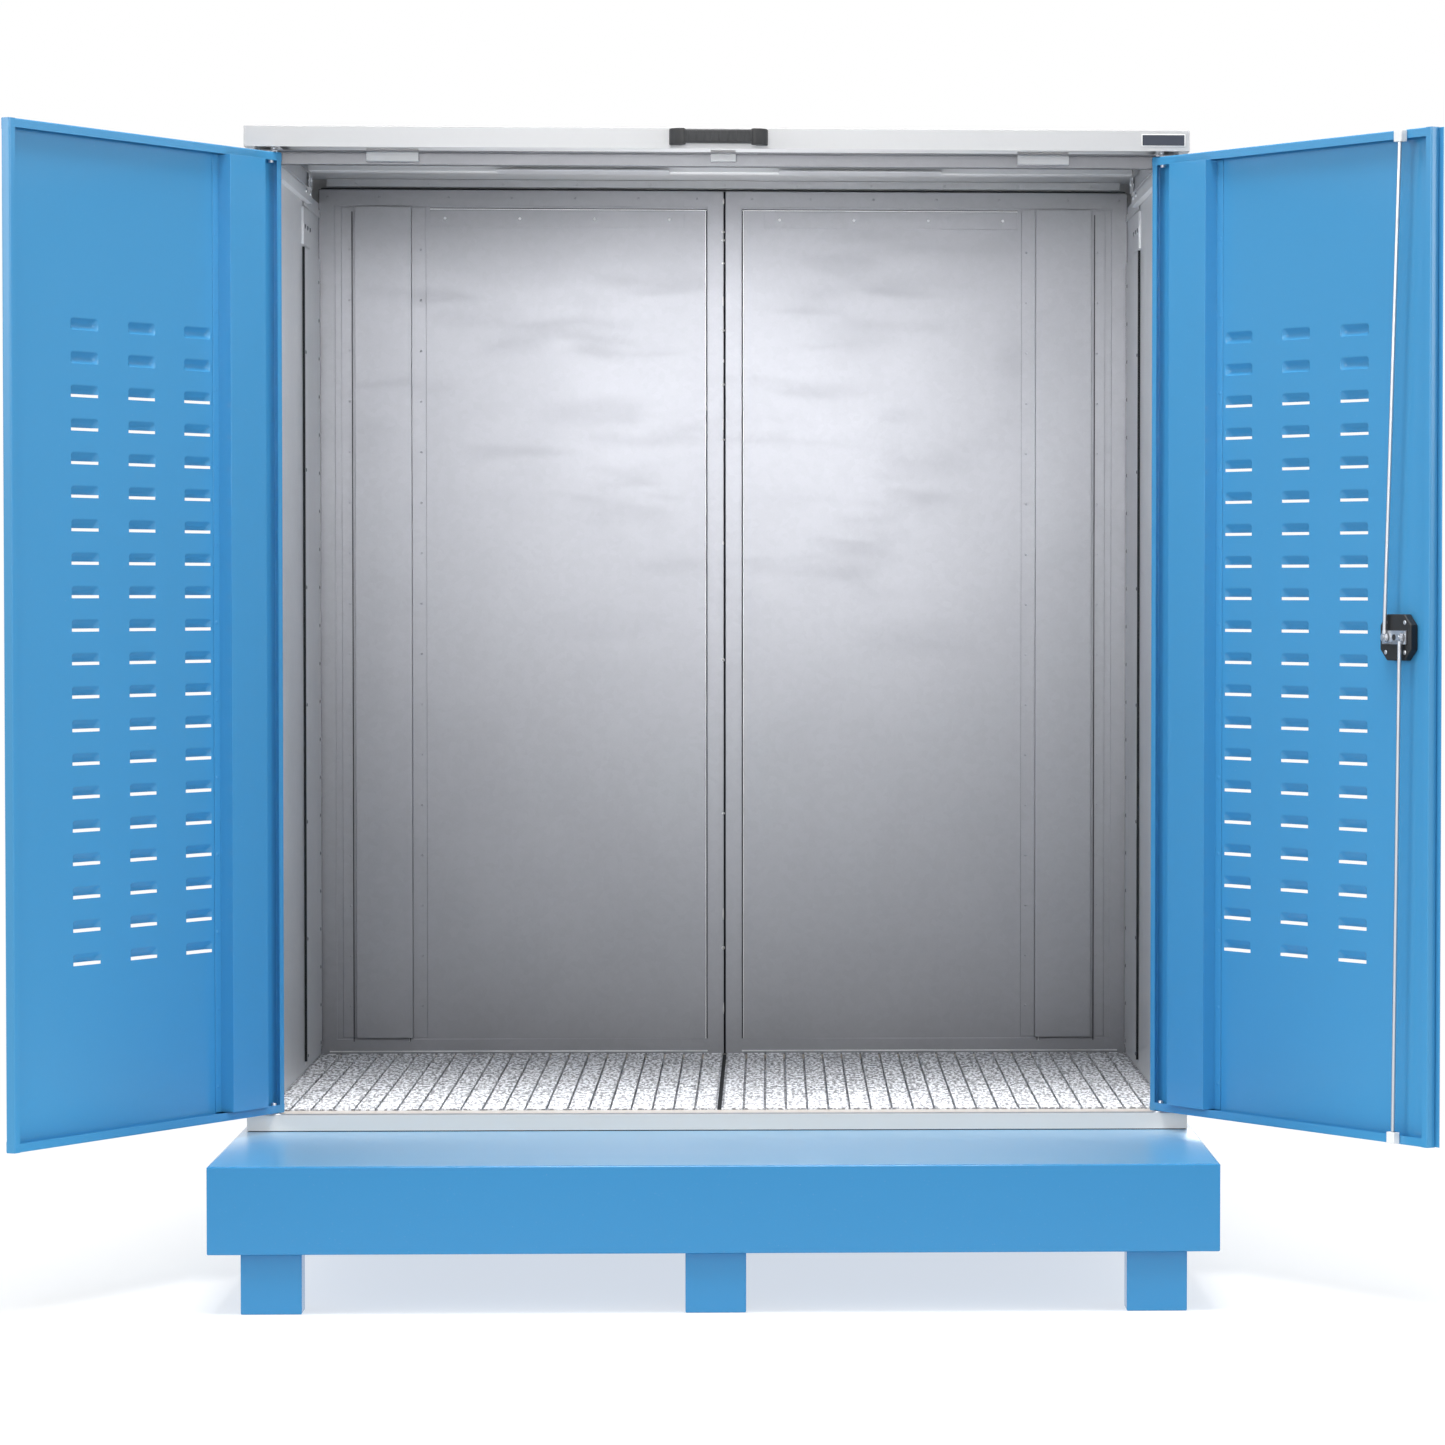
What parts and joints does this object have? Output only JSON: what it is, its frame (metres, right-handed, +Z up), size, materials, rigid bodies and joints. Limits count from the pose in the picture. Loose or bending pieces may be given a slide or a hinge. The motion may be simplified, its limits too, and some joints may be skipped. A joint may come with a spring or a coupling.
{
  "type": "hazardous drum store",
  "caption": "Walk-up steel cabinet for drums on a raised sump tray, with pivoting louvred doors, floor gratings, a rod lock and a lid that lifts on sliding stays.",
  "frame": {"origin": "on the floor under the middle of the sump tray, at the sole of the middle foot", "axes": "+X to the right along the front, +Y to the back, +Z up"},
  "size_m": [2.075, 1.754, 1.7732],
  "materials": {
    "blue_paint": "satin powder coat",
    "grey_paint": "satin powder coat",
    "galvanised": "galvanised sheet with a soft sheen",
    "grating_zinc": "hot-dip galvanised",
    "black_plastic": "fine moulded texture",
    "zinc_plate": "bright zinc plate",
    "white_nylon": "smooth moulded nylon"
  },
  "bodies": {
    "store": {"sump_tray": "blue_paint", "sump_floor": "blue_paint", "tray_deck": "blue_paint", "foot_front_left": "blue_paint", "foot_front_centre": "blue_paint", "foot_front_right": "blue_paint", "foot_middle_left": "blue_paint", "foot_middle_centre": "blue_paint", "foot_middle_right": "blue_paint", "foot_rear_left": "blue_paint", "foot_rear_centre": "blue_paint", "foot_rear_right": "blue_paint", "front_sill": "grey_paint", "base_rail_left": "grey_paint", "base_rail_right": "grey_paint", "base_rail_rear": "grey_paint", "side_wall_left": "grey_paint", "side_wall_right": "grey_paint", "side_liner_left": "galvanised", "side_liner_right": "galvanised", "back_panel_left": "galvanised", "back_panel_right": "galvanised", "back_rib_left": "galvanised", "back_rib_right": "galvanised", "head_beam": "galvanised", "door_stop_left": "galvanised", "door_stop_centre": "galvanised", "door_stop_right": "galvanised", "stay_rail_left": "galvanised", "stay_rail_right": "galvanised", "grating_left": "grating_zinc", "grating_right": "grating_zinc", "lower_pivot_left": "zinc_plate", "lower_pivot_right": "zinc_plate", "upper_pivot_left": "zinc_plate", "upper_pivot_right": "zinc_plate", "lid_hinge_leaf_left": "zinc_plate", "lid_hinge_leaf_right": "zinc_plate"},
    "lid": {"lid_pan": "grey_paint", "lid_cross_rail": "grey_paint", "lid_handle": "black_plastic", "lid_hinge_strap_left": "zinc_plate", "lid_hinge_strap_right": "zinc_plate", "stay_bracket_left": "galvanised", "stay_bracket_right": "galvanised"},
    "stay_left": {"stay_arm_left": "zinc_plate"},
    "stay_right": {"stay_arm_right": "zinc_plate"},
    "door_left": {"door_left": "blue_paint", "door_stiffener_left": "blue_paint"},
    "door_right": {"door_right": "blue_paint", "door_stiffener_right": "blue_paint", "lock_housing": "black_plastic", "rod_guide_upper": "white_nylon", "rod_guide_lower": "white_nylon"},
    "lock": {"lock_cam": "zinc_plate", "turn_handle": "black_plastic"},
    "rod_upper": {"rod_upper": "zinc_plate"},
    "rod_lower": {"rod_lower": "zinc_plate"}
  },
  "joints": [
    {"name": "lid_hinge", "type": "hinge", "parent": "store", "child": "lid", "pos_m": [0, 0.8331, 1.74], "axis": [-1, 0, 0], "range_deg": [0, 50]},
    {"name": "stay_left_pivot", "type": "hinge", "parent": "lid", "child": "stay_left", "pos_m": [-0.6885, 0.3831, 1.74], "axis": [-1, 0, 0], "range_deg": [-100, 0]},
    {"name": "stay_right_pivot", "type": "hinge", "parent": "lid", "child": "stay_right", "pos_m": [0.6885, 0.3831, 1.74], "axis": [-1, 0, 0], "range_deg": [-100, 0]},
    {"name": "door_left_hinge", "type": "hinge", "parent": "store", "child": "door_left", "pos_m": [-0.6891, -0.3045, 0.99], "axis": [0, 0, -1], "range_deg": [-118, 17]},
    {"name": "door_right_hinge", "type": "hinge", "parent": "store", "child": "door_right", "pos_m": [0.6891, -0.3045, 0.99], "axis": [0, 0, 1], "range_deg": [-121, 14]},
    {"name": "lock_turn", "type": "hinge", "parent": "door_right", "child": "lock", "pos_m": [0.99521, -0.82755, 0.991], "axis": [0.8572, 0.515, 0], "range_deg": [0, 90]},
    {"name": "rod_upper_pin", "type": "hinge", "parent": "lock", "child": "rod_upper", "pos_m": [0.98054, -0.81478, 0.991], "axis": [0.8572, 0.515, 0], "range_deg": [-92, 0]},
    {"name": "rod_lower_pin", "type": "hinge", "parent": "lock", "child": "rod_lower", "pos_m": [0.9996, -0.8465, 0.991], "axis": [0.8572, 0.515, 0], "range_deg": [-92, 0]}
  ],
  "couplings": [
    {"joint": "stay_left_pivot", "follows": "lid_hinge", "ratio": -2},
    {"joint": "stay_right_pivot", "follows": "lid_hinge", "ratio": -2},
    {"joint": "rod_upper_pin", "follows": "lock_turn", "ratio": -1.0138},
    {"joint": "rod_lower_pin", "follows": "lock_turn", "ratio": -1.0138}
  ]
}
